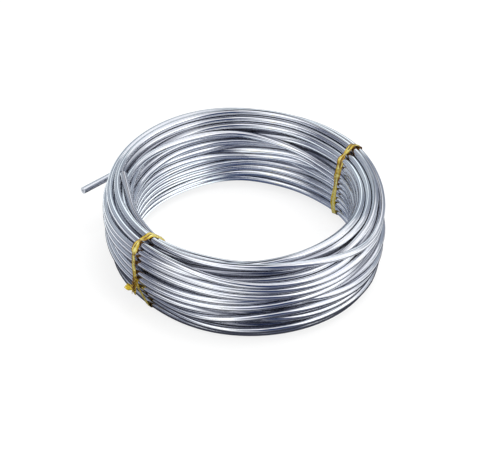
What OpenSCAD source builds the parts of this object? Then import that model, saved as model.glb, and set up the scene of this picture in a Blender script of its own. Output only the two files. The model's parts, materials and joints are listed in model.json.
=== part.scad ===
// Coil of round aluminium wire, held by two twist ties.
// The coil lies flat, with its axis along Z, and it rests on its ties at z = 0.

/* [Wire] */
// Diameter of the wire
wire_d = 3; // [2.4:0.1:3.6]
// How far neighbouring turns sink into each other, which makes the coil one solid
turn_sink = 0.05; // [0.03:0.01:0.3]

/* [Coil] */
// Outside diameter of the coil
coil_od = 125; // [110:1:160]
// Diameter of the eye through the middle of the coil
coil_bore = 96; // [80:1:98]
// Height of the coil
coil_h = 38; // [28:1:50]
// Radius of the rounded corners of the coil's section
corner_r = 6; // [4.5:0.5:6.5]

/* [Outer end of the wire] */
// Compass angle that the straight outer end points to
tail_heading = 222.5; // [200:0.5:240]
// Height of the outer end's axis above the underside of the lowest turn
tail_h = 21.5; // [12:0.5:26]
// Distance from the coil's outer turns to the outer end where its last bend starts
tail_gap = 0.15; // [0.1:0.05:3]
// Radius of that bend
tail_bend_r = 30; // [20:5:60]
// Angle of that bend
tail_bend_angle = 8; // [7:0.5:10]
// Length of the straight outer end
tail_len = 17.5; // [10:0.5:60]

/* [Inner end of the wire] */
// Angle round the coil where the inner end leaves its turn
inner_angle = 192.5; // [190:0.5:202]
// Distance outwards from the innermost turns where it leaves
inner_inset = 1; // [0:0.5:3]
// Length of the free inner end
inner_len = 19; // [15:1:30]
// Slope at which it climbs over the top turns
inner_slope = 10; // [9:0.5:12]

/* [Twist ties] */
// Angle round the coil of the front tie
front_tie_angle = 220; // [215:1:235]
// Angle round the coil of the back tie
back_tie_angle = 32; // [10:1:60]
// Width of a tie
tie_w = 3.2; // [2:0.1:5]
// Thickness of a tie
tie_t = 0.5; // [0.4:0.1:1]
// Clearance between a tie and the turns under it
tie_gap = 0.1; // [0.05:0.05:0.3]
// Height of the lower end of the twist above the underside of the lowest turn
twist_h = 12; // [8:0.5:14]
// Length of the twist
twist_len = 6; // [4:0.5:10]
// Turns in the twist
twist_turns = 2; // [1:0.5:4]
// Length of the long free end of a tie
long_end = 6; // [4:0.5:12]
// Length of the short free end of a tie
short_end = 3; // [2:0.5:6]

/* [Hidden] */
$fn = 96;
round_fn = 192;

wire_r = wire_d / 2;
// the coil stands off the floor by the tie that passes under it
base_z = tie_gap + tie_t;
sect_w = (coil_od - coil_bore) / 2;
mid_r = (coil_od + coil_bore) / 4;
mid_z = base_z + coil_h / 2;

// the line through the middle of the outer layer of turns: a rounded rectangle, whose corners
// leave at least this much of its sides straight
least_flat = 0.1;
line_w = sect_w - wire_d;
line_h = coil_h - wire_d;
line_c = min(corner_r - wire_r, (line_w - least_flat) / 2, (line_h - least_flat) / 2);
flat_w = line_w - 2 * line_c;
flat_h = line_h - 2 * line_c;
arc_len = line_c * PI / 2;
line_len = 2 * (flat_w + flat_h) + 4 * arc_len;
turn_count = 2 * floor(line_len / (wire_d - turn_sink) / 2 + 1);

// point at distance s along a quarter arc that starts at the side facing angle a
function bend(centre, a, s) =
    let (t = a + s / line_c * 180 / PI) centre + line_c * [cos(t), sin(t)];

// point at distance s along the line, from the middle of its bottom, up the right side and down the left
function line_point(s) =
    let (hw = flat_w / 2, hh = flat_h / 2, x = line_w / 2, y = line_h / 2)
    s > line_len / 2 ? let (right = line_point(line_len - s)) [-right.x, right.y] :
    s < hw ? [s, -y] :
    s < hw + arc_len ? bend([hw, -hh], -90, s - hw) :
    s < hw + arc_len + flat_h ? [x, s - hw - arc_len - hh] :
    s < hw + 2 * arc_len + flat_h ? bend([hw, hh], 0, s - hw - arc_len - flat_h) :
    [line_len / 2 - s, y];

turn_points = [for (i = [0 : turn_count - 1]) line_point((i + 0.5) * line_len / turn_count)];

// distance of the outer end's line from the coil's axis, and of the line's point where the bend starts
tail_r = coil_od / 2 - wire_r + 0.3;
bend_start_r = tail_r - tail_bend_r * (1 - cos(tail_bend_angle));

// how far the lead goes back into the coil from the bend, which stands clear of the outer turns
tail_lead = sqrt(pow(coil_od / 2 + wire_r + tail_gap, 2) - pow(bend_start_r, 2));
tail_start = tail_lead + tail_bend_r * sin(tail_bend_angle);

// the inner end starts this far back inside the coil
inner_lead = 10;
inner_r = coil_bore / 2 + wire_r + inner_inset;
inner_z = base_z + coil_h - wire_r - line_c + sqrt(pow(line_c, 2) - pow(max(0, line_c - inner_inset), 2));

// Section of the coil: the outer layer of turns round a plain core
module coil_section() {
    translate([mid_r, mid_z]) {
        polygon(turn_points);
        for (p = turn_points) translate(p) circle(r = wire_r);
    }
}

// The outer end springs off the coil, bends a little and runs straight to its cut
module outer_end() {
    rotate([0, 0, tail_heading - 90]) translate([tail_r, tail_start, base_z + tail_h]) {
        rotate([-90, 0, 0]) cylinder(r = wire_r, h = tail_len);
        translate([-tail_bend_r, 0, 0]) {
            rotate_extrude(angle = -tail_bend_angle, $fn = 720)
                translate([tail_bend_r, 0]) circle(r = wire_r);
            rotate([0, 0, -tail_bend_angle]) translate([tail_bend_r, 0, 0])
                rotate([90, 0, 0]) cylinder(r = wire_r, h = tail_lead);
        }
    }
}

// The inner end leaves the top inner turn straight and climbs over the turns beside it
module inner_end() {
    rotate([0, 0, inner_angle]) translate([inner_r, 0, inner_z]) rotate([90 - inner_slope, 0, 0])
        translate([0, 0, -inner_lead]) cylinder(r = wire_r, h = inner_lead + inner_len);
}

module wire() {
    color("silver") {
        rotate_extrude($fn = round_fn) coil_section();
        outer_end();
        inner_end();
    }
}

// The section's outline, grown outwards by grow
module outline(grow) {
    w = sect_w + 2 * grow;
    h = coil_h + 2 * grow;
    r = line_c + wire_r + grow;
    translate([mid_r, mid_z]) {
        square([w - 2 * r, h], center = true);
        square([w, h - 2 * r], center = true);
        for (x = [-1, 1], y = [-1, 1]) translate([x * (w / 2 - r), y * (h / 2 - r)]) circle(r = r);
    }
}

// The two ends of a tie wound round each other on the outside of the coil, then spread apart
module twist(side) {
    translate([coil_od / 2 + tie_gap + tie_t + tie_w / 4, 0, base_z + twist_h]) {
        linear_extrude(height = twist_len, twist = 360 * twist_turns, slices = 12 * twist_turns, $fn = 4)
            square([tie_w / 2, tie_w / 2], center = true);
        rotate([side * 75, 0, 0]) translate([0, 0, long_end / 2])
            cube([tie_t, tie_w, long_end], center = true);
        rotate([side * 160, 0, 0]) translate([0, 0, short_end / 2])
            cube([tie_t, tie_w, short_end], center = true);
    }
}

// A tie: a strip bent round the coil's section, with its twisted ends
module twist_tie(angle, side) {
    rotate([0, 0, angle]) {
        rotate([90, 0, 0]) linear_extrude(height = tie_w, center = true) difference() {
            outline(tie_gap + tie_t);
            outline(tie_gap);
        }
        twist(side);
    }
}

module twist_tie_front() {
    color("gold") twist_tie(front_tie_angle, 1);
}

module twist_tie_back() {
    color("goldenrod") twist_tie(back_tie_angle, -1);
}

wire();
twist_tie_front();
twist_tie_back();
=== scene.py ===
# %% [markdown]
# # A coil of aluminium wire
#
# The object is one length of bare 3 mm aluminium wire, wound into a coil that lies flat, and held
# together by two gold twist ties. A drawn wire is round, smooth and bright, so nearly all that the eye
# sees is reflection: thin white and dark lines that run along every turn. The work here is to place
# the turns as real ones lie, close but never quite parallel, and to give them a studio to reflect.
#
# The packed model is the fixed frame. Its plain ring and plain ties keep their size and place, and
# what is made here stands for them.

import json
import math

import bpy
import numpy as np
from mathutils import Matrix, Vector


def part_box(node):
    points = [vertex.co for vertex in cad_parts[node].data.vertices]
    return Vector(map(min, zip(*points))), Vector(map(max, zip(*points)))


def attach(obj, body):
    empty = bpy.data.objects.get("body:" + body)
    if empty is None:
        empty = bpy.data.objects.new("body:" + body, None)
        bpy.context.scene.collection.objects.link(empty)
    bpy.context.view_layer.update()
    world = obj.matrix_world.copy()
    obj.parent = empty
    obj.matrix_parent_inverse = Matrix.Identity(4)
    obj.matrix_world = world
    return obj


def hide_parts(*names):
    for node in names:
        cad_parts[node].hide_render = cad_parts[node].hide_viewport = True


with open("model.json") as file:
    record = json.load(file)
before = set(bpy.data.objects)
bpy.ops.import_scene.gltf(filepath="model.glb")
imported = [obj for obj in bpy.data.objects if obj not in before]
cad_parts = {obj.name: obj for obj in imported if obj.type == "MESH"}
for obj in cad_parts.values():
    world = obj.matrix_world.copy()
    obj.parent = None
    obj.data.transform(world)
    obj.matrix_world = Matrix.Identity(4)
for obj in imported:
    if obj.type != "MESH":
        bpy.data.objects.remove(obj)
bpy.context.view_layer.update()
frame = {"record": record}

# %% [markdown]
# ## Sizes
#
# Every size comes from the frame. The straight outer end of the wire is a mount in the packed record,
# so its radius, place and direction are read from there. The boxes of the ring and of a tie give the
# outside of the coil, its top and its underside. Only the eye's diameter has to be stated, because a
# ring's box says nothing of its hole. Lengths are in metres, as everywhere in Blender.

# %% Read the sizes
MM = 0.001

end_mount = next(m for m in frame["record"]["mounts"] if m["name"] == "wire_end")
wire_r = end_mount["dims"]["r_mm"] * MM
end_length = end_mount["dims"]["length_mm"] * MM
end_middle = np.array(end_mount["pos_m"])
end_axis = np.array(end_mount["axis"])

wire_low, wire_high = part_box("wire")
tie_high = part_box("twist_tie_front")[1]
floor_gap = wire_low.z
coil_top = tie_high.z - floor_gap
outer_r = wire_high.x
eye_r = 48 * MM
print("wire", wire_r * 2000, "mm; coil", outer_r * 2000, "mm wide and", coil_top * 1000, "mm high")

# %% [markdown]
# ## The camera
#
# It looks down on the coil from the front at 37.6 degrees above the floor, from so far away that the
# coil's far side is hardly smaller than its near side: a long lens a little over a metre off.

# %% Set up the camera
camera_rise = math.radians(37.6)
camera_distance = 1.2
view_width = 219 * MM
aim_right, aim_down = 1.88 * MM, 2.75 * MM
sensor_width = 36
look = Vector((0, math.cos(camera_rise), -math.sin(camera_rise)))
image_up = Vector((0, math.sin(camera_rise), math.cos(camera_rise)))
aim = Vector((aim_right, 0, (coil_top + floor_gap) / 2)) - aim_down * image_up

camera_data = bpy.data.cameras.new("camera")
camera_data.sensor_width = sensor_width
camera_data.lens = sensor_width * camera_distance / view_width
camera = bpy.data.objects.new("camera", camera_data)
bpy.context.scene.collection.objects.link(camera)
camera.location = aim - look * camera_distance
camera.rotation_euler = look.to_track_quat("-Z", "Y").to_euler()
bpy.context.scene.camera = camera
print("camera at", np.round(camera.location, 3).tolist(), "with a lens of", round(camera_data.lens), "mm")

# %% [markdown]
# ## The turns in the coil's section
#
# Cut across, the coil is a bunch of some four dozen round wires in a tall rounded outline. A regular
# grid would look machine-made, and random places would overlap. So the places are found as the wires
# find them: discs start at random inside the outline, push each other apart until they no longer
# overlap, and are kept in by the outline's wall, while a little shaking that dies away lets them
# settle. There is one place more than there are turns, because each turn moves over by one place on
# its way round, and the first of them needs a free place to move to.

# %% Settle the places of the turns
turn_count = 47
bundle_x = (outer_r + eye_r) / 2
bundle_z = (coil_top + floor_gap) / 2
half_w = (outer_r - eye_r) / 2 - wire_r
half_h = (coil_top - floor_gap) / 2 - wire_r
squareness = 3.4  # 2 is an ellipse, and more is squarer


def inside_share(points):
    """What each point is multiplied by to lie inside the outline: f^(-1/n) where f is over 1."""
    f = (np.abs(points / [half_w, half_h]) ** squareness).sum(1)
    return np.where(f > 1, np.maximum(f, 1) ** (-1 / squareness), 1)


def settle_places(count, spacing, rounds=1500, seed=8, extra=0.5 * MM, shake=0.25 * MM):
    """Places of count discs in the outline |x/a|^n + |y/b|^n = 1, in wire centres.
    Each round moves every disc away from the ones nearer than spacing, and back inside the wall. The
    extra spacing is gone after half of the rounds, and the shaking after five eighths of them."""
    rng = np.random.default_rng(seed)
    places = rng.uniform(-0.85, 0.85, (count, 2)) * [half_w, half_h]
    for i in range(rounds):
        done = i / rounds
        want = spacing + extra * max(0, 1 - 2 * done)
        apart = places[:, None] - places[None]
        distance = np.hypot(apart[..., 0], apart[..., 1]) + np.eye(count)
        push = np.maximum(want - distance, 0) / distance
        places = places + 0.35 * (apart * push[..., None]).sum(1)
        places = places + rng.normal(0, shake, places.shape) * max(0, 1 - 1.6 * done) ** 2
        places = places * inside_share(places)[:, None]
    return places


places = settle_places(turn_count + 1, spacing=3.12 * MM)
print("places settled:", len(places))

# %% [markdown]
# ## The order of the winding
#
# The wire was wound in layers: down the inner wall, up the next layer, and so on outwards. So the
# places are sorted into upright layers and joined up and down in turn, which gives the order in which
# one continuous wire visits them. A hand-wound coil isn't as tidy as that, so some turns trade places
# with a neighbour in another layer.

# %% Put the places in winding order
layer_sizes = (8, 10, 10, 10, 10)


def winding_order(points, sizes):
    """The points in layers from the inside out, each layer run down or up in turn.
    The outermost layer runs down over every other place and back up over the ones between."""
    by_radius = np.split(np.argsort(points[:, 0]), np.cumsum(sizes)[:-1])
    layers = [layer[np.argsort(points[layer, 1])] for layer in by_radius]
    outermost = layers[-1][[9, 8, 7, 5, 3, 1, 0, 2, 4, 6]]
    inner = [layer[::-1] if i % 2 == 0 else layer for i, layer in enumerate(layers[:-1])]
    return np.concatenate(inner + [outermost])


def exchange_some(order, points, tries=40, seed=5, beside=3.9 * MM, longest=8.5 * MM):
    """The order with some turns exchanged for one that lies beside them, mostly of another layer.
    An exchange that makes a turn move further than longest to its next place is given up."""
    rng = np.random.default_rng(seed)
    for i in rng.choice(np.arange(1, len(order) - 2), tries):
        apart = np.hypot(*(points[order] - points[order[i]]).T)
        near = np.flatnonzero((apart[1:-2] < beside) & (apart[1:-2] > 0)) + 1
        j = rng.choice(near)
        changed = order.copy()
        changed[[i, j]] = order[[j, i]]
        if np.hypot(*np.diff(points[changed], axis=0).T).max() < longest:
            order = changed
    return order


order = exchange_some(winding_order(places, layer_sizes), places)
ordered = places[order]
print("the wire visits the places in the order", order.tolist())

# %% [markdown]
# ## One wire through all the places
#
# Each turn keeps its place for part of the way round, and moves over to the next place along a stretch
# of its own. That is what makes real turns cross at shallow angles. The line is worked out at 96
# stations a turn. Whole groups of turns also lie higher at one side of the coil than at another: the
# outside of the section rises or falls a few millimetres with the angle, and its inside does the
# opposite.

# %% Join the places into a guide line
stations = 96
start_angle = math.radians(192.5)
end_angle = math.atan2(end_axis[1], end_axis[0]) % (2 * math.pi) - math.pi / 2
# how much higher the outside of the section lies, in mm, at an angle in degrees
lift_stops = [(0, -3.5), (40, 0), (100, 4.5), (160, 2), (205, 2.5), (240, 2), (270, 0.5), (336, -5)]


def ease(t):
    """A smooth step from 0 to 1 as t goes from 0 to 1: 3t^2 - 2t^3."""
    t = np.clip(t, 0, 1)
    return t * t * (3 - 2 * t)


def guide_line(points, spread, stretch, seed=7):
    """Section place of the wire's centre at each station along the coil, with its angle in turns.
    In turn k it goes from place k to place k + 1, eased over a stretch whose middle and length vary."""
    rng = np.random.default_rng(seed)
    count = len(points) - 1
    half = rng.uniform(*stretch, count)
    middle = 0.5 + rng.uniform(-spread, spread, count)
    middle[-1] = 0.4  # the last turn has to be in its place before the outer end leaves
    total = count + (end_angle - start_angle) / (2 * math.pi)
    along = np.arange(round(total * stations) + 1) / stations
    turn = np.minimum(along.astype(int), count - 1)
    share = ease((along - turn - middle[turn]) / (2 * half[turn]) + 0.5)[:, None]
    return points[turn] * (1 - share) + points[turn + 1] * share, along


guide, along = guide_line(ordered, spread=0.3, stretch=(0.25, 0.4))
angle = start_angle + 2 * math.pi * along
lift = np.interp(np.degrees(angle), *zip(*lift_stops), period=360) * MM
guide[:, 1] += lift * guide[:, 0] / half_w * (1 - (guide[:, 1] / half_h) ** 2)
print("turns:", round(float(along[-1]), 2), "points:", len(along))

# %% [markdown]
# ## The two free ends
#
# Both ends of the wire stand free of the turns. The outer one leaves the coil along a tangent and runs
# straight to its cut. The inner one leaves the topmost inner turn and climbs over the turns beside it.
# Both are straight lines, and in radius and height a straight line past the axis is r0 / cos(a) at an
# angle a beyond its nearest point. Written like that they are more stations of the same wire, which
# stay where they are while the turns between them find their places.

# %% Add the free ends
inner_length, inner_climb = 19 * MM, math.radians(10)
inner_leave_r = eye_r + wire_r + 1 * MM
inner_leave_z = coil_top - 3.17 * MM
inner_reach = inner_length * math.cos(inner_climb)
inner_slope = math.tan(inner_climb)
outer_leave_r = abs(end_middle[0] * end_axis[1] - end_middle[1] * end_axis[0])
outer_reach = float(end_middle @ end_axis) + end_length / 2


def free_end(leave_r, leave_z, reach, slope):
    """Angles beyond the leaving point, and section places (r0 / cos a, z0 + slope r0 tan a) there,
    one for each station, with the last one at the cut."""
    last = math.atan(reach / leave_r)
    step = 2 * math.pi / stations
    a = np.minimum(np.arange(1, math.ceil(last / step) + 1) * step, last)
    out, up = leave_r / np.cos(a), leave_z + slope * leave_r * np.tan(a)
    return a, np.stack([out - bundle_x, up - bundle_z], 1)


inner_a, inner_places = free_end(inner_leave_r, inner_leave_z, inner_reach, inner_slope)
outer_a, outer_places = free_end(outer_leave_r, end_middle[2], outer_reach, 0)
turns_start, turns_end = len(inner_a), len(inner_a) + len(guide)
guide = np.concatenate([inner_places[::-1], guide, outer_places])
angle = np.concatenate([start_angle - inner_a[::-1], angle, angle[-1] + outer_a])
print("stations on the inner end:", len(inner_a), "and on the outer end:", len(outer_a))

# %% [markdown]
# ## Hollows and bulges
#
# The outline isn't the same all round. Where the bundle was squeezed the wall has shallow hollows, and
# where a few turns spring out it bulges, which is a hollow of negative depth. Each is a bump function
# of the angle and the height. A hollow only moves the turns that lie in it, and a bulge widens the
# whole section there.

# %% Lay out the hollows and bulges
outer_hollows = [
    # angle, height, half width in degrees, half height in mm, depth in mm
    (349, 23, 18, 3.5, 3.0),
    (330, 20, 18, 3.5, 3.0),
    (345, 7, 22, 4.5, 3.0),
    (190, 21.5, 12, 2.4, 2.6),
    (188, 8, 24, 7.0, 1.8),
    (207, 2, 30, 8.0, 2.5),
    (243, 30, 24, 3.2, 2.2),
    (228, 4, 26, 9.0, 5.0),
    (274, 1, 30, 6.0, 2.0),
    (26, 33, 18, 8.0, 2.0),
    (118, 37, 30, 10.0, -3.0),
]
inner_hollows = [
    (108, 27, 22, 3.0, 1.8),
    (60, 14, 22, 4.0, 1.5),
    (118, 2, 12, 8.0, 1.6),
    (62, 2, 24, 9.0, -2.6),
    (226, 3, 24, 9.0, -2.2),
    (222, 37, 20, 10.0, -2.5),
    (265, 37, 18, 10.0, -0.8),
    (312, 37, 24, 10.0, -2.9),
    (358, 30, 16, 10.0, -1.2),
]


def hollow_depth(rows, height, angle):
    """Sum of the hollows at each point: depth * exp(-(angle off / width)^2 - (height off / size)^2)."""
    a, h, half_angle, half_height, depth = np.array(rows, float).T
    off = (np.degrees(angle)[:, None] - a + 180) % 360 - 180
    rise = height[:, None] / MM - h
    return (depth * np.exp(-((off / half_angle) ** 2) - (rise / half_height) ** 2)).sum(1) * MM


def bulged_walls(inner, outer):
    """Middle and half width of the section at each point, from how far its sides bulge."""
    inner, outer = np.minimum(inner, 0), np.minimum(outer, 0)
    return (inner - outer) / 2, half_w - (inner + outer) / 2


bulge = [hollow_depth(rows, guide[:, 1] + bundle_z, angle) for rows in (inner_hollows, outer_hollows)]
middle, half = bulged_walls(*bulge)
guide[turns_start:turns_end, 0] = (middle + guide[:, 0] * half / half_w)[turns_start:turns_end]
print("widest bulge in mm:", np.round(-np.min(bulge) * 1000, 1))

# %% [markdown]
# ## What moves a turn
#
# Joined up as they are, turns that change place cut through their neighbours. A physics engine could
# push them apart, but needs minutes for sixteen metres of contact. Sections are enough: at each of the
# 96 stations the turns are discs again, which push each other apart and are kept in by the wall. Wire
# is stiff, so each round's moves are smoothed along it before they are made.

# %% Work out the pushes
def wall_push(points, angle):
    """The move that brings each point back inside the outline and out of the hollows."""
    height = points[:, 1] + bundle_z
    inner = hollow_depth(inner_hollows, height, angle)
    outer = hollow_depth(outer_hollows, height, angle)
    middle, half = bulged_walls(inner, outer)
    even = np.stack([(points[:, 0] - middle) * half_w / half, points[:, 1]], 1)
    even = even * inside_share(even)[:, None]
    x = np.clip(middle + even[:, 0] * half / half_w, inner - half_w, half_w - outer)
    return np.stack([x, even[:, 1]], 1) - points


def smooth_along(values, sigma):
    """Each column of values averaged along the wire with Gaussian weights of that many stations."""
    reach = int(3 * sigma) + 1
    weights = np.exp(-0.5 * (np.arange(-reach, reach + 1) / sigma) ** 2)
    padded = np.pad(values, ((reach, reach), (0, 0)), mode="edge")
    return np.stack([np.convolve(c, weights / weights.sum(), "valid") for c in padded.T], 1)


def by_station(points):
    """The points as rows of one turn each, so that each column holds the wires met at one angle.
    Places before the first point and after the last are filled with points far outside the coil."""
    rows = -(-len(points) // stations)
    spare = rows * stations - len(points)
    far = np.stack([1 + 0.1 * np.arange(spare), np.zeros(spare)], 1)
    return np.concatenate([points, far]).reshape(rows, stations, 2)


def neighbour_push(points, want):
    """Half of every overlap with the other turns at the same angle, away from each neighbour."""
    grid = by_station(points)
    apart = grid[:, None] - grid[None]
    distance = np.hypot(apart[..., 0], apart[..., 1]) + np.eye(len(grid))[:, :, None]
    push = np.maximum(want - distance, 0) / np.maximum(distance, 1e-9)
    return (apart * push[..., None]).sum(1).reshape(-1, 2)[: len(points)] * 0.5


overlap = np.linalg.norm(neighbour_push(guide, 2 * wire_r), axis=1)
print("points that cut into a neighbour before settling:", int((overlap > 0.1 * MM).sum()))

# %% [markdown]
# ## Letting the turns settle
#
# Many small rounds of moves let the turns find room and stay fair curves. The guide line's weakening
# pull keeps the crossings where they were laid. The free ends don't move, and the wire next to them is
# drawn to them first, so that no kink is left.

# %% Settle the turns against each other
leave_places = np.array([
    [inner_leave_r - bundle_x, inner_leave_z - bundle_z],
    [outer_leave_r - bundle_x, end_middle[2] - bundle_z],
])


def settle_turns(guide, angle, rounds=600, loose=3.15 * MM, tight=3.06 * MM, most=0.8 * MM):
    """The guide line after many rounds of neighbour, wall and guide moves, smoothed along the wire.
    No move is longer than most. The wanted spacing goes from loose to tight and the smoothing from 6
    to 2.5 stations as the turns find their places. The wire's stiffness takes a tenth of the twice
    unsmoothed line (1 - S)(1 - S) p away each round. The free ends stay. The wire next to them is drawn
    to them by a Gaussian of 8 and 12 stations, and is free to move from about 6 stations on."""
    step = np.arange(len(guide))[:, None]
    from_start, to_end = step - turns_start, turns_end - 1 - step
    free = 1 - np.exp(-((np.maximum(np.minimum(from_start, to_end), 0) / 6) ** 2))
    in_turns = (from_start >= 0) & (to_end >= 0)
    near_start = np.exp(-0.5 * (from_start / 8) ** 2) * in_turns
    near_end = np.exp(-0.5 * (to_end / 12) ** 2) * in_turns
    slope_down = [0, -inner_slope * inner_leave_r * 2 * math.pi / stations] * from_start
    points = guide + (leave_places[0] - guide[turns_start] + slope_down) * near_start
    points = points + (leave_places[1] - guide[turns_end - 1]) * near_end
    home = points.copy()
    for i in range(rounds):
        done = i / rounds
        want = loose + (tight - loose) * np.clip((done - 0.3) / 0.4, 0, 1)
        smoothing = 6 - 3.5 * np.clip((done - 0.4) / 0.4, 0, 1)
        move = (neighbour_push(points, want) + wall_push(points, angle)) * free
        move += 0.05 * (1 - done) ** 2 * (home - points)
        points = points + np.clip(smooth_along(move, smoothing), -most, most) * free
        bent = points - smooth_along(points, 4)
        points = points - 0.1 * (bent - smooth_along(bent, 4)) * free
    return points


settled = settle_turns(guide, angle)
turn_sections = by_station(settled)
gaps = np.hypot(*np.moveaxis(turn_sections[:, None] - turn_sections[None], -1, 0))
gaps = (gaps + np.eye(len(gaps))[:, :, None]).min(1)
nearest = np.percentile(gaps[gaps < 20 * MM], [0, 1, 5, 50])
print("nearest neighbours in mm:", np.round(nearest * 1000, 2).tolist())

# %% [markdown]
# ## From sections to one line in space
#
# The settled places are turned back into points round the axis. The coil isn't quite round either: at
# the back right it is a little flat. Sixteen metres of wire come out. The line is the wire's real path.

# %% Lay out the wire's centreline
# how far the coil is pressed in, in mm, at an angle in degrees
pressed_stops = [(0, 1.2), (12, 1.6), (45, 1.6), (65, 0.6), (90, 0), (335, 0), (360, 1.2)]
flattened = np.interp(np.degrees(angle) % 360, *zip(*pressed_stops))
centre_r = bundle_x + settled[:, 0] - flattened * MM
centre_z = bundle_z + settled[:, 1]
centreline = np.stack([centre_r * np.cos(angle), centre_r * np.sin(angle), centre_z], 1)
step_lengths = np.linalg.norm(np.diff(centreline, axis=0), axis=1)
run_length = np.concatenate([[0], np.cumsum(step_lengths)])

# %% [markdown]
# ## The tube
#
# A round wire is a circle carried along a line. Blender's curve bevel would do it, but then the
# number of sides and the texture coordinates are out of hand. Carried along in numpy, every ring of
# the tube gets the same number of points, and its UV map holds real lengths: metres along the wire,
# and the share of the way round it. The drawing marks of the material follow that map.

# %% Make a tube or band from rings of points
def band_mesh(name, rings, across_uv, along_uv):
    """A closed tube through rings[i, j]: quads between neighbours, and a fan of triangles at each end.
    across_uv[j] and along_uv[i] are the UV coordinates, with one extra across value for the seam."""
    count, sides = rings.shape[:2]
    corner = np.arange(count * sides).reshape(count, sides)
    after = np.roll(corner, -1, 1)
    quads = np.stack([corner[:-1], after[:-1], after[1:], corner[1:]], -1).reshape(-1, 4)
    first, last = count * sides, count * sides + 1
    start_fan = np.stack([after[0], corner[0], np.full(sides, first)], -1)
    end_fan = np.stack([corner[-1], after[-1], np.full(sides, last)], -1)
    vertices = np.concatenate([rings.reshape(-1, 3), rings[[0, -1]].mean(1)])

    mesh = bpy.data.meshes.new(name)
    mesh.from_pydata(vertices, [], quads.tolist() + start_fan.tolist() + end_fan.tolist())
    j0, i0 = np.meshgrid(np.arange(sides), np.arange(count - 1))
    pair = np.stack([[j0, i0], [j0 + 1, i0], [j0 + 1, i0 + 1], [j0, i0 + 1]])
    uv = np.stack([along_uv[pair[:, 1]], across_uv[pair[:, 0]]], -1).transpose(1, 2, 0, 3).reshape(-1, 2)
    side = np.arange(sides)
    caps = np.concatenate([
        np.stack([np.full((sides, 3), along_uv[i]), across_uv[np.stack([side, side + 1, side], -1)]], -1)
        for i in (0, -1)
    ]).reshape(-1, 2)
    layer = mesh.uv_layers.new(name="UVMap")
    layer.data.foreach_set("uv", np.concatenate([uv, caps]).astype(np.float32).ravel())
    mesh.polygons.foreach_set("use_smooth", np.ones(len(mesh.polygons), bool))
    mesh.set_sharp_from_angle(angle=math.radians(50))
    mesh.update()
    piece = bpy.data.objects.new(name, mesh)
    bpy.context.scene.collection.objects.link(piece)
    return piece


# %% Carry a circle along the wire's centreline
wire_sides = 18


def unit(vectors):
    """The vectors at length one."""
    return vectors / np.linalg.norm(vectors, axis=-1, keepdims=True)


def wire_rings(line, radius, sides):
    """Circles across the line: point + radius * (cos b * sideways + sin b * upwards).
    Sideways is the line's direction turned flat to the right, which never fails on a lying coil."""
    direction = unit(np.gradient(line, axis=0))
    sideways = unit(np.cross(direction, [0, 0, 1]))
    upwards = np.cross(sideways, direction)
    b = np.linspace(0, 2 * math.pi, sides, endpoint=False)[None, :, None]
    return line[:, None] + radius * (np.cos(b) * sideways[:, None] + np.sin(b) * upwards[:, None])


wire = band_mesh(
    "aluminium_wire",
    wire_rings(centreline, wire_r, wire_sides),
    np.linspace(0, 1, wire_sides + 1),
    run_length,
)
print("wire faces:", len(wire.data.polygons))

# %% [markdown]
# ## How hidden each point is
#
# Between two turns that touch there is a dark line, because they mirror each other there, over and
# over. A renderer follows such a ray only a few times, and a plain viewer doesn't at all. So two
# attributes say how hidden each point is: how far it is from the next turn, and how deep it lies inside
# the bundle. The wire's colour is given painted shade by them.

# %% Mark how near the next turn is, and how deep each point lies
def mark(piece, name, values):
    """An attribute with one number for each point of the piece's rings, and 0 for its two end points."""
    attribute = piece.data.attributes.new(name, "FLOAT", "POINT")
    attribute.data.foreach_set("value", np.append(values.ravel(), [0, 0]).astype(np.float32))


def gap_to_next_turn(points, sides):
    """Distance in mm from each ring point to the nearest other turn's surface: |p + r n - q| - r."""
    grid = by_station(points)
    b = np.linspace(0, 2 * math.pi, sides, endpoint=False)
    surface = grid[:, :, None] + wire_r * np.stack([np.cos(b), np.sin(b)], 1)
    nearest = np.ones(surface.shape[:3])
    for shift in range(1, len(grid)):
        distance = np.linalg.norm(surface - np.roll(grid, shift, 0)[:, :, None], axis=-1)
        nearest = np.minimum(nearest, distance)
    return (nearest.reshape(-1, sides)[: len(points)] - wire_r) / MM


def depth_under_hull(points, directions=24):
    """How deep in mm each point lies under a band stretched round the turns at its angle: the least,
    over all directions n, of max(q . n) - p . n."""
    t = np.linspace(0, 2 * math.pi, directions, endpoint=False)
    reach = points @ np.stack([np.cos(t), np.sin(t)])
    turns = reach.copy()
    turns[:turns_start] = turns[turns_end:] = -1
    rows = -(-len(points) // stations)
    turns = np.pad(turns, ((0, rows * stations - len(points)), (0, 0)), constant_values=-1)
    furthest = turns.reshape(rows, stations, directions).max(0)
    return np.maximum((furthest[np.arange(len(points)) % stations] - reach).min(1), 0) / MM


gap = gap_to_next_turn(settled, wire_sides)
gap[:turns_start] = gap[turns_end:] = 1
depth = depth_under_hull(settled)
mark(wire, "gap", gap)
mark(wire, "depth", np.repeat(depth, wire_sides))
print("deepest point of the wire in mm:", round(float(depth.max()), 1))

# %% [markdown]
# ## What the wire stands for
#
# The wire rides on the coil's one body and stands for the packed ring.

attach(wire, "root")
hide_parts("wire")
2 * wire_r

# %% [markdown]
# ## The twist ties
#
# A twist tie is a strip of plastic film with a thin steel core, bent once round the bundle, with its
# ends twisted together. It pulls tight, so it takes the shape of a band stretched over the wires:
# straight where it bridges two of them, and bent over the ones that stand out most. In each direction
# n across the section, the band touches the wire that reaches furthest, so its points are found at
# once: that wire's centre plus its radius times n, for every n.

# %% Stretch a band over the wires
tie_angles = {"front": math.radians(220), "back": math.radians(32)}
band_gap = 0.22 * MM  # from the wires to the strip's middle line
twist_low, twist_high = 12.6 * MM, 18.6 * MM


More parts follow.
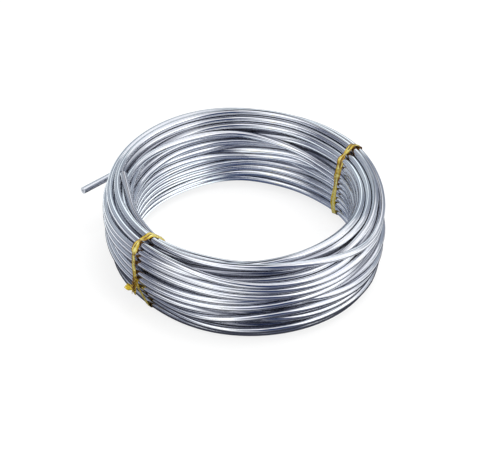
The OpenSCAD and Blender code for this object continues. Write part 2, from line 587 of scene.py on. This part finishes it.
def sections_near(place, reach=math.radians(2.5)):
    """Radius and height of every wire centre within reach of an angle round the coil."""
    off = (angle - place + math.pi) % (2 * math.pi) - math.pi
    near = np.abs(off) < reach
    return np.stack([centre_r[near], centre_z[near]], 1)


def even_steps(line, step):
    """The line at even steps of its own length."""
    lengths = np.concatenate([[0], np.cumsum(np.linalg.norm(np.diff(line, axis=0), axis=1))])
    wanted = np.linspace(0, lengths[-1], max(2, round(lengths[-1] / step) + 1))
    return np.stack([np.interp(wanted, lengths, c) for c in line.T], 1)


def band_round(points, start_height, directions=1440, step=0.3 * MM):
    """The stretched band round the points, from its outer side at a height, over the top and back."""
    t = np.linspace(0, 2 * math.pi, directions, endpoint=False)
    n = np.stack([np.cos(t), np.sin(t)], 1)
    touch = points[(points @ n.T).argmax(0)] + (wire_r + band_gap) * n
    outer = touch[:, 0] > points[:, 0].mean()
    first = np.where(outer, np.abs(touch[:, 1] - start_height), 1).argmin()
    closed = np.concatenate([np.roll(touch, -first, 0), touch[first:first + 1]])
    return even_steps(closed, step)


bands = {side: band_round(sections_near(at), twist_high + 0.8 * MM) for side, at in tie_angles.items()}
print("points on the bands:", {side: len(band) for side, band in bands.items()})

# %% [markdown]
# ## The strip's path
#
# The strip is one path from end to end: a free end, one strand of the twist, round the bundle, the
# other strand, and the other free end. The strands are two helices half a turn apart. A tie put on by
# hand wanders along the coil on its way round. Each corner between two pieces is softened, because a
# strip with a steel core bends in a small round.

# %% Lay out a tie's path
twist_r = 0.6 * MM
twist_turns = 2
twist_off = 1.1 * MM  # how far the twist's middle stands off the band
path_step = 0.22 * MM


def at_shares(stops, count):
    """Values at count even shares of a length, from stops of (share, value)."""
    return np.interp(np.linspace(0, 1, count), *zip(*stops))


def helix(centre, phase, step=0.15 * MM):
    """(out, along, up) on a helix upwards round a standing line: twist_r (cos p, sin p)."""
    height = twist_high - twist_low
    share = np.linspace(0, 1, round(1.6 * height / step))
    p = phase + 2 * math.pi * twist_turns * share
    circle = [centre[0] + twist_r * np.cos(p), centre[1] + twist_r * np.sin(p)]
    return np.stack([*circle, twist_low + height * share], 1)


def line_between(a, b, step=0.3 * MM):
    """Even points from a to b, without b."""
    a, b = np.array(a, float), np.array(b, float)
    count = max(2, round(float(np.linalg.norm(b - a)) / step))
    return a + (b - a) * (np.arange(count) / count)[:, None]


def tie_path(band, long_end, short_end, wander):
    """The strip's middle line in (out, along, up): radius, distance along the coil, and height.
    The free ends point by long_end and short_end, and wander is how far along the coil the band lies
    at each share of its way round, all in mm. Also gives how much of each point is in the band."""
    along_coil = at_shares(wander, len(band)) * MM
    band = np.stack([band[:, 0], along_coil, band[:, 1]], 1)
    stem = (band[0, 0] + twist_off, along_coil[0])
    first = helix(stem, 0.5 * math.pi)
    second = helix(stem, 1.5 * math.pi)[::-1]
    free_long = line_between(first[0] + np.array(long_end) * MM, first[0])
    free_short = line_between(second[-1], second[-1] + np.array(short_end) * MM)
    turn_over = np.array([[stem[0] - 0.2 * MM, stem[1], twist_high + 0.9 * MM]])
    line = np.concatenate([free_long, first, band, turn_over, second, free_short])
    in_band = np.zeros(len(line))
    in_band[len(free_long) + len(first):-(1 + len(second) + len(free_short))] = 1
    both = np.concatenate([line, in_band[:, None] * MM], 1)
    both = smooth_along(even_steps(both, path_step), 1.6)
    return both[:, :3], both[:, 3] / MM


def to_space(local, place):
    """(out, along, up) at an angle round the coil, as x, y, z."""
    out = np.array([math.cos(place), math.sin(place), 0])
    along_coil = np.array([-math.sin(place), math.cos(place), 0])
    return local[:, :1] * out + local[:, 1:2] * along_coil + local[:, 2:] * [0, 0, 1]


# %% [markdown]
# ## The strip's section
#
# The film is thin and flat, and thicker over the core, where it shows as a ridge. It doesn't lie flat
# on the bundle everywhere: it rolls a little to one side and the other, and one edge stands off. In the
# twist, and where it was nipped with fingers, the film is squeezed narrow and its edges curl up. So the
# section is a thin oval with a bump in the middle, whose width, roll and curl change along the path.

# %% Carry the strip's section along its path
tie_width = 3.2 * MM
strip_sides = 16


def tie_rings(local, in_band, nips, rolls):
    """Rings round the strip: middle + across * w cos b + outward * (curl cos^2 b + thickness sin b).
    w narrows in the twist, and by the nips' amounts, given at shares of the length. Across and
    outward are turned round the path by the roll, in degrees at shares of the length, and the strip is
    lifted by w |sin roll| so that its lower edge stays on the wires. The last 3 mm of the free ends
    keep their full width. Also gives how folded each point is, from its nip and its twist."""
    direction = unit(np.gradient(local, axis=0))
    middle = np.array([bundle_x, 0, bundle_z])
    stem = np.array([local[:, 0].max() - twist_r, local[len(local) // 40, 1], 0])
    from_bundle = (local - middle) * [1, 0, 1]
    from_stem = (local - stem) * [1, 1, 0]
    hint = unit(from_bundle) * in_band[:, None] + unit(from_stem) * (1 - in_band)[:, None]
    hint = smooth_along(hint, 3)
    normal = unit(hint - (hint * direction).sum(1, keepdims=True) * direction)
    across = np.cross(direction, normal)
    share = np.linspace(0, 1, len(local))[:, None]
    nip = smooth_along(at_shares(nips, len(local))[:, None], 2)
    from_end = np.minimum(share, 1 - share) * len(local) * path_step / MM
    free = (1 - in_band)[:, None] * np.clip((from_end - 3) / 2, 0, 1)
    half = tie_width / 2 * (1 - 0.5 * free) * (1 - nip)
    curl = 0.12 * MM + 0.3 * MM * free + 0.8 * MM * nip
    roll = np.radians(at_shares(rolls, len(local)) * in_band)[:, None]
    lifted = local + half * 0.8 * np.abs(np.sin(roll)) * normal
    across, normal = (
        across * np.cos(roll) + normal * np.sin(roll),
        normal * np.cos(roll) - across * np.sin(roll),
    )
    b = np.linspace(0, 2 * math.pi, strip_sides, endpoint=False)
    thickness = (0.1 + 0.2 * np.exp(-((np.cos(b) / 0.3) ** 2))) * MM
    sideways = (half * np.cos(b))[..., None] * across[:, None]
    upwards = (curl * np.cos(b) ** 2 + thickness * np.sin(b))[..., None] * normal[:, None]
    return lifted[:, None] + sideways + upwards, np.maximum(3 * nip - 1, 0.2 * free).ravel()


def make_tie(name, node, side, nips, rolls, wear_and_shading, **shape):
    """A whole twist tie as one piece. Its attribute says how brown the film is, from its folds and from a
    table at shares of the length: above 0 browner, and below 0 paler, as new at the cut ends and from
    painted light elsewhere."""
    local, in_band = tie_path(bands[side], **shape)
    rings, folds = tie_rings(local, in_band, nips, rolls)
    rings = to_space(rings.reshape(-1, 3), tie_angles[side]).reshape(rings.shape)
    lengths = np.concatenate([[0], np.cumsum(np.linalg.norm(np.diff(local, axis=0), axis=1))])
    piece = band_mesh(name, rings, np.linspace(0, 1, strip_sides + 1), lengths)
    mark(piece, "fold", np.repeat(folds + at_shares(wear_and_shading, len(folds)), strip_sides))
    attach(piece, "root")
    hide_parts(node)
    print(name, "is", round(lengths[-1] * 1000), "mm long, with", len(piece.data.polygons), "faces")
    return piece


# %% [markdown]
# ## The two ties
#
# Both are the same strip, put on a little differently. The front one was pinched twice on its way over
# the top of the bundle and leans to the front there. The back one was pinched on top and half way down
# the inner wall, and rolls to the other side. The film is browner over the top of both, paler from
# painted light further down, and as new at the cut ends.

# %% Make the front and the back tie
front_tie = make_tie(
    "front_twist_tie",
    "twist_tie_front",
    "front",
    long_end=(1.5, -4.1, 2.1),
    short_end=(0.5, 2.6, -0.6),
    wander=[
        (0, 1.2), (0.13, 0.4), (0.22, 1.2), (0.26, 2.2), (0.34, 2.6), (0.55, 2.0), (0.8, 1.5), (1, 1.2),
    ],
    nips=[
        (0.12, 0.1), (0.215, 0.1), (0.232, 0.5), (0.25, 0), (0.275, 0), (0.292, 0.6), (0.308, 0), (0.5, 0),
    ],
    rolls=[
        (0.12, 0), (0.22, 10), (0.25, -20), (0.28, -24), (0.3, 0), (0.33, -10), (0.4, -10), (0.5, 0),
    ],
    wear_and_shading=[
        (0.035, -0.8), (0.06, 0.1), (0.12, 0.45), (0.31, 0.4), (0.38, 0), (0.5, -0.2), (0.95, 0),
        (0.97, -0.5),
    ],
)
back_tie = make_tie(
    "back_twist_tie",
    "twist_tie_back",
    "back",
    long_end=(1.5, 4.1, 2.1),
    short_end=(0.5, -2.6, -0.6),
    wander=[
        (0, 1), (0.15, 0), (0.25, -2.0), (0.33, -3.4), (0.45, -2.4), (0.56, -0.2), (0.68, 0.8), (0.85, 1),
        (1, 1),
    ],
    nips=[
        (0.25, 0), (0.325, 0), (0.345, 0.5), (0.365, 0), (0.44, 0), (0.47, 0.4), (0.55, 0.2), (0.65, 0.35),
        (0.7, 0.2),
    ],
    rolls=[(0.25, 0), (0.32, -12), (0.38, 20), (0.45, 24), (0.5, 14), (0.64, 14), (0.7, 0)],
    wear_and_shading=[
        (0.035, -0.8), (0.06, 0.1), (0.25, 0.4), (0.44, 0.5), (0.52, -0.3), (0.7, -0.5), (0.95, 0),
        (0.97, -0.5),
    ],
)

# %% [markdown]
# ## Shader sums in Python
#
# A material's pattern is arithmetic on coordinates. Written as Python expressions it can be read. The
# class below wraps one output of a node, so that a sum or product of two of them adds the Math node
# that works it out, or a Vector Math node where a vector takes part.

# %% Wrap a shader socket
class Value:
    """One output of a node in a material. Arithmetic on it adds nodes to the same material."""

    def __init__(self, tree, socket=None):
        self.tree = tree
        self.socket = socket

    def node(self, kind, settings={}, inputs={}, output=0):
        """The output of a new node, with its settings made first and its inputs set or linked."""
        node = self.tree.nodes.new(kind)
        for name, value in settings.items():
            if name == "stops":
                for _ in range(len(value) - 2):
                    node.color_ramp.elements.new(0.5)
                for element, (place, colour) in zip(node.color_ramp.elements, value):
                    element.position = place
                    element.color = (*colour, 1)
            else:
                setattr(node, name, value)
        for name, value in inputs.items():
            if isinstance(value, Value):
                self.tree.links.new(value.socket, node.inputs[name])
            else:
                node.inputs[name].default_value = value
        return Value(self.tree, node.outputs[output])

    def maths(self, operation, *values):
        """A Math node, or a Vector Math node if any of the values is a vector."""
        vector = any(isinstance(v, Value) and v.socket.type == "VECTOR" for v in values)
        kind = "ShaderNodeVectorMath" if vector else "ShaderNodeMath"
        if vector:
            values = [v if isinstance(v, (Value, tuple)) else (v, v, v) for v in values]
        return self.node(kind, {"operation": operation}, dict(enumerate(values)))

    def __add__(self, other):
        return self.maths("ADD", self, other)

    def __sub__(self, other):
        return self.maths("SUBTRACT", self, other)

    def __rsub__(self, other):
        return self.maths("SUBTRACT", other, self)

    def __mul__(self, other):
        return self.maths("MULTIPLY", self, other)

    def __truediv__(self, other):
        return self.maths("DIVIDE", self, other)

    __radd__ = __add__
    __rmul__ = __mul__

    def between(self, low, high):
        """A smooth step of this value: 0 below low, 1 above high."""
        inputs = {"Value": self, "From Min": low, "From Max": high}
        return self.node("ShaderNodeMapRange", {"interpolation_type": "SMOOTHSTEP"}, inputs)

    def part(self, i):
        """The x, y or z of this vector, for an i of 0, 1 or 2."""
        return self.node("ShaderNodeSeparateXYZ", {}, {"Vector": self}, i)

    def inside(self, low, high, soft):
        """1 between low and high and 0 outside, with edges that reach soft to both sides of them."""
        return self.between(low - soft, low + soft) * (1 - self.between(high - soft, high + soft))

    def mix(self, first, second):
        """The colour first where this value is 0 and second where it is 1."""
        first, second = [c if isinstance(c, Value) else (*c, 1) for c in (first, second)]
        return self.node("ShaderNodeMix", {"data_type": "RGBA"}, {0: self, 6: first, 7: second}, 2)

    def noise(self, scale, detail, roughness=0.5):
        """Noise at this value as its coordinate, from 0 to 1."""
        inputs = {"Vector": self, "Scale": scale, "Detail": detail, "Roughness": roughness}
        return self.node("ShaderNodeTexNoise", {}, inputs)

    def bump(self, distance):
        """The normal of a surface with this value as its height, in units of distance."""
        return self.node("ShaderNodeBump", {}, {"Height": self, "Distance": distance, "Strength": 1})


print("shader sums:", sorted(name for name in vars(Value) if not name.startswith("_")))

# %% Start and finish a material
def new_material(name):
    """A material and a Value to build its nodes from."""
    material = bpy.data.materials.new(name)
    material.use_nodes = True
    return material, Value(material.node_tree)


def finish_material(value, **inputs):
    """Sets or links the inputs of the material's own Principled shader."""
    shader = value.tree.nodes["Principled BSDF"]
    for name, setting in inputs.items():
        socket = shader.inputs[name.replace("_", " ")]
        if isinstance(setting, Value):
            value.tree.links.new(setting.socket, socket)
        else:
            socket.default_value = setting


# %% [markdown]
# ## Drawn aluminium
#
# The wire was pulled through a die, which leaves it bright, with fine lines along its length. Handling
# adds soft scuffs and a few small nicks. The lines and nicks follow the UV map, whose first number is
# metres along the wire and whose second is the share of the way round, so noise is squeezed round the
# wire and stretched along it. Where the next turn is nearer than half a millimetre the metal has dark
# painted shade, and from 1 to 3 mm inside the bundle it is greyed by more painted shade.

# %% Make the wire's material
aluminium, value = new_material("bright_drawn_aluminium")
uv = value.node("ShaderNodeTexCoord", output=2)
place = value.node("ShaderNodeTexCoord", output=3)
# the factors of uv are noise cells for each metre along and for each time round
lines = (uv * (8, 30, 0)).noise(1, 2, 0.5)
cloud = place.noise(70, 3, 0.6)
nicks = (uv * (120, 9, 0)).noise(1, 2, 0.6).between(0.68, 0.78)
tone = cloud.between(0.35, 0.7).mix((0.81, 0.83, 0.88), (0.88, 0.89, 0.91))
tone = (lines.between(0.5, 0.75) * 0.5).mix(tone, (0.74, 0.745, 0.80))
gap, depth = [value.node("ShaderNodeAttribute", {"attribute_name": n}, output=2) for n in ("gap", "depth")]
# painted shade: near black where the next turn nearly touches, and grey deep inside the bundle
painted_crevice_shade, painted_hollow_shade, nicked = (0.14, 0.145, 0.18), (0.40, 0.41, 0.46), (0.46, 0.46, 0.50)
tone = gap.between(0.10, 0.45).mix(painted_crevice_shade, tone)
tone = depth.between(1, 3).mix(tone, painted_hollow_shade)
finish_material(
    value,
    Base_Color=(nicks * 0.4).mix(tone, nicked),
    Metallic=1,
    Roughness=0.06 + 0.06 * cloud.between(0.4, 0.7) + 0.05 * lines.between(0.4, 0.8) + 0.15 * nicks,
    Normal=lines.bump(0.004 * MM),
)
wire.data.materials.append(aluminium)
print("wire material nodes:", len(aluminium.node_tree.nodes))

# %% [markdown]
# ## Gold film
#
# The tie's film is plastic with a metallic gold coat under a glossy skin. It is pleated across, finely
# rippled along, and has a painted highlight on the ridge over the core, where the light catches it. The
# folds, cut edges and pleats are brown, partly painted shade where they mirror each other and partly
# wear of the coat. On the UV map the strip's outer face runs from 0 to a half, with the core at a quarter.

# %% Make the film's material
gold_film, value = new_material("gold_film")
uv = value.node("ShaderNodeTexCoord", output=2)
fold = value.node("ShaderNodeAttribute", {"attribute_name": "fold"}, output=2)
across = uv.part(1)
creases = (uv * (1400, 3, 0)).noise(1, 3, 0.7)
ripple = (uv * (420, 5, 0)).noise(1, 2)
pleats = (uv * (150, 9, 0)).noise(1, 2, 0.6)
edge = 1 - across.inside(0.075, 0.425, 0.055)
# brown from wear and painted shade at the edges, folds and pleats; the attribute also holds painted light
# where the strip is paler
wear_and_shading_mask = fold + edge * 0.8 + pleats.between(0.52, 0.62) * 0.8 - ripple.between(0.4, 0.6) * 0.3
# painted highlight: paler gold on the ridge over the core and on some ripples
ridge = across.inside(0.185, 0.315, 0.035) + ripple.between(0.45, 0.6)
deep_gold, pale_gold, brown = (0.86, 0.60, 0.025), (1, 0.92, 0.34), (0.26, 0.12, 0.02)
sheen = (ridge * 0.6).mix(deep_gold, pale_gold)
finish_material(
    value,
    Base_Color=wear_and_shading_mask.between(0.1, 0.9).mix(sheen, brown),
    Metallic=0.5,
    Roughness=0.18 + 0.16 * creases,
    Normal=(creases * 0.5 + ripple + pleats * 0.6).bump(0.7 * MM),
)
for tie in (front_tie, back_tie):
    tie.data.materials.append(gold_film)
print("film material nodes:", len(gold_film.node_tree.nodes))

# %% [markdown]
# ## The studio
#
# Bright wire shows the room and little of its own colour. In a wholly white room it would be a white
# patch. So the room that the wire mirrors is dark, with windows in its walls: a wide one at the right,
# one at the front left, and narrow and dim ones behind. The dark walls between them give the coil its
# dark patches, and panels on the ceiling draw the white lines on its top.

# %% Light the room from all round
world = bpy.data.worlds.new("studio")
bpy.context.scene.world = world
world.use_nodes = True
value = Value(world.node_tree)
direction = value.node("ShaderNodeTexCoord")
x, y, z = [direction.part(i) for i in range(3)]
rise = value.maths("ARCSINE", z) * (180 / math.pi)
# brightness at a compass direction in degrees: 0 is to the right, 90 behind, and -90 in front
window_stops = [
    (-180, 0.26), (-165, 0.18), (-145, 0.24), (-130, 1.10), (-108, 1.40), (-94, 0.60), (-78, 0.04),
    (-48, 0.03), (-38, 1.6), (0, 1.8), (14, 0.70), (40, 0.32), (62, 0.36), (69, 1.15), (77, 1.15),
    (86, 0.14), (96, 0.34), (112, 0.56), (122, 0.45), (150, 0.36), (180, 0.26),
]


def round_the_room(value, x, y, stops):
    """A colour ramp over the compass direction of (x, y), from stops of (degrees, brightness). Dim light
    is bluer, and what comes from behind is a little greener too."""
    azimuth = value.maths("ARCTAN2", y, x) * (0.5 / math.pi) + 0.5
    cool = [0.07 * level * max(0, math.sin(math.radians(at))) for at, level in stops]
    colours = [
        ((at + 180) / 360, (level, level + 0.02 + more, level + max(0.03, 0.1 - 0.05 * level) + more))
        for (at, level), more in zip(stops, cool)
    ]
    return value.node("ShaderNodeValToRGB", {"stops": colours}, {"Fac": azimuth})


windows = round_the_room(value, x + z * 0.4, y, window_stops)  # they lean to the left as they rise
in_window = rise.between(3, 9) * (1 - rise.between(40, 48))
room = in_window.mix((0.03, 0.032, 0.05), windows)
room = rise.between(46, 58).mix(room, (0.08, 0.085, 0.11))
print("stops round the room:", len(window_stops))

# %% [markdown]
# ## The ceiling and what the camera sees
#
# A direction (x, y, z) meets a ceiling one unit up at (x / z, y / z), so a panel on it is a rectangle
# in those two. Only a ray that comes off the bright wire meets this room. The camera sees plain white,
# and soft light comes from a pale grey all round.

# %% Hang the ceiling panels
ceiling_x, ceiling_y = x / z, y / z
ceiling_panels = [
    # left, right, near, far, brightness
    (-1.4, 0.1, -0.80, -0.17, 1.35),
    (0.1, 0.55, -0.75, -0.20, 1.00),
    (0.55, 1.4, -0.80, -0.17, 1.35),
    (0.15, 1.5, -0.1, 1.0, 1.05),
    (-0.6, -0.2, 0.05, 0.9, 0.60),
]
for left, right, near, far, level in ceiling_panels:
    in_panel = ceiling_x.inside(left, right, 0.1) * ceiling_y.inside(near, far, 0.07)
    room = (in_panel * rise.between(5, 10)).mix(room, (level, level + 0.01, level + 0.05))
seen, mirrored = [value.node("ShaderNodeLightPath", output=i) for i in (0, 3)]
backdrop = mirrored.mix(seen.mix((0.75, 0.75, 0.75), (1, 1, 1)), room)
world.node_tree.links.new(backdrop.socket, world.node_tree.nodes["Background"].inputs["Color"])
print("world nodes:", len(world.node_tree.nodes))

# %% [markdown]
# ## The floor
#
# What this wide disc looks like depends on the ray that meets it. Light that falls on it meets plain
# pale paint. To the camera most of its brightness is its own, so that it stays white to the edge of the
# picture and keeps the coil's soft shadow. What the wire mirrors is a painted glow that changes round
# the compass as the room does, with a painted shadow next to the coil. Inside the eye the glow has stops
# of its own, because only the inner wall mirrors that part.

# %% Lay the floor
bpy.ops.mesh.primitive_circle_add(vertices=96, radius=3, fill_type="NGON")
floor = bpy.context.object
floor.name = "floor"
pale, value = new_material("pale_floor")
# Light Path's Is Camera, Is Diffuse, Is Glossy and Is Transmission Ray
rays = [value.node("ShaderNodeLightPath", output=i) for i in (0, 2, 3, 6)]
seen, lighting, mirrored, seen_through = rays
place = value.node("ShaderNodeTexCoord", output=3)
x, y = place.part(0), place.part(1)
off_axis = value.maths("SQRT", x * x + y * y)
# painted light: the floor's glow, which only the wire sees, by compass direction
outside = round_the_room(value, x, y, [
    (-180, 0.75), (-150, 0.32), (-128, 1.25), (-106, 1.30), (-88, 0.80), (-76, 0.12), (-52, 0.10),
    (-40, 1.10), (0, 1.20), (20, 0.65), (45, 0.15), (85, 0.15), (105, 0.75), (130, 1.05), (180, 0.85),
])
in_eye = round_the_room(value, x, y, [
    (-180, 0.60), (-90, 0.45), (-20, 0.70), (15, 0.60), (35, 0.20), (75, 0.10), (93, 0.03), (99, 0.15),
    (107, 1.30), (130, 1.50), (165, 1.30), (180, 0.60),
])
# painted shadow: the glow goes dark within about 12 cm of the coil's axis
glow_with_painted_shadow = off_axis.between(0.07, 0.125).mix((0.02, 0.022, 0.035), outside)
floor_light = off_axis.between(0.045, 0.055).mix(in_eye, glow_with_painted_shadow)
looked_at = value.maths("MINIMUM", seen + seen_through, 1)
paint = mirrored.mix((0.2, 0.2, 0.2), (0.02, 0.021, 0.026))
finish_material(
    value,
    Base_Color=lighting.mix(paint, (0.8, 0.8, 0.8)),
    Roughness=0.9,
    Emission_Color=looked_at.mix(mirrored.mix((0, 0, 0), floor_light), (0.8, 0.8, 0.8)),
    Emission_Strength=1,
)
floor.data.materials.append(pale)
print("floor material nodes:", len(pale.node_tree.nodes))

# %% [markdown]
# ## The lamps
#
# Two soft lamps, one overhead and one at the front right, shape the ties and cast the shadow. The wire
# doesn't mirror them, because every turn would show two bright squares.

# %% Hang the lamps
def add_lamp(name, place, size, power):
    """A square area lamp that faces the coil."""
    lamp = bpy.data.lights.new(name, "AREA")
    lamp.size = size
    lamp.energy = power
    holder = bpy.data.objects.new(name, lamp)
    bpy.context.scene.collection.objects.link(holder)
    holder.location = place
    holder.rotation_euler = (Vector((0, 0, 0.02)) - Vector(place)).to_track_quat("-Z", "Y").to_euler()
    holder.visible_glossy = False
    print(name, "of", power, "W at", place)


add_lamp("overhead_lamp", (0.2, 0.1, 1.2), 0.7, 9)
add_lamp("window_lamp", (0.8, -0.8, 0.8), 0.5, 6)

# %% Set the plain view transform and finish
bpy.context.scene.view_settings.view_transform = "Standard"
bpy.context.view_layer.update()
